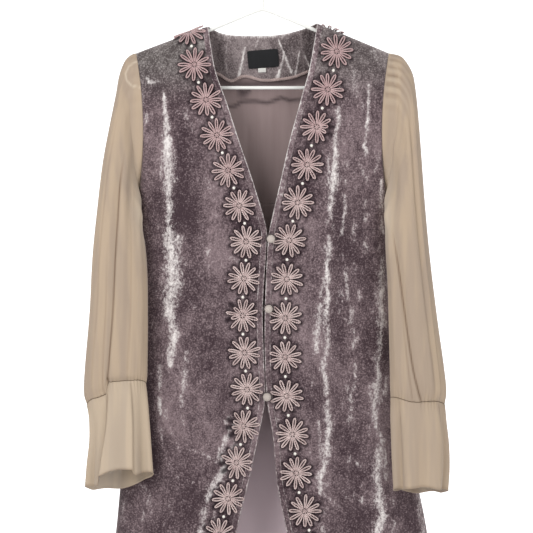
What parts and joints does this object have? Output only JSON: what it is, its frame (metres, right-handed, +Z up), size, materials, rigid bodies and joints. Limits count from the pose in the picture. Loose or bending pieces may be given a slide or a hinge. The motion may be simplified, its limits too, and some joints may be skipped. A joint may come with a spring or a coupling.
{
  "type": "overcoat on a hanger",
  "caption": "Long open velvet coat with sheer flounced sleeves and an applied flower trim, hanging on a tube hanger.",
  "frame": {"origin": "inner top of the hanger's hook, where a rod or wall hook holds it", "axes": "+Z up, +X to the right as the fronts are seen, the fronts face -Y"},
  "size_m": [0.578, 0.1396, 1.3103],
  "materials": {
    "velvet": "crushed velvet with a pale nap",
    "chiffon": "sheer crepe chiffon",
    "braid": "looped braid with a soft sheen",
    "button": "covered ball button",
    "loop": "narrow cloth cord",
    "label": "woven satin tape, bare",
    "size_tab": "woven tape, bare",
    "hanger": "smooth white plastic"
  },
  "bodies": {
    "root": {"front_left": "velvet", "front_right": "velvet", "back": "velvet", "edge_band_left": "velvet", "edge_band_right": "velvet", "back_neck_facing": "velvet", "sleeve_left": "chiffon", "sleeve_right": "chiffon", "flounce_left": "chiffon", "flounce_right": "chiffon", "flower_trim_left": "braid", "flower_trim_right": "braid", "flower_trim_neck": "braid", "button_top": "button", "button_middle": "button", "button_bottom": "button", "loop_top": "loop", "loop_middle": "loop", "loop_bottom": "loop", "label": "label", "size_tab": "size_tab", "hanger": "hanger"}
  },
  "joints": []
}
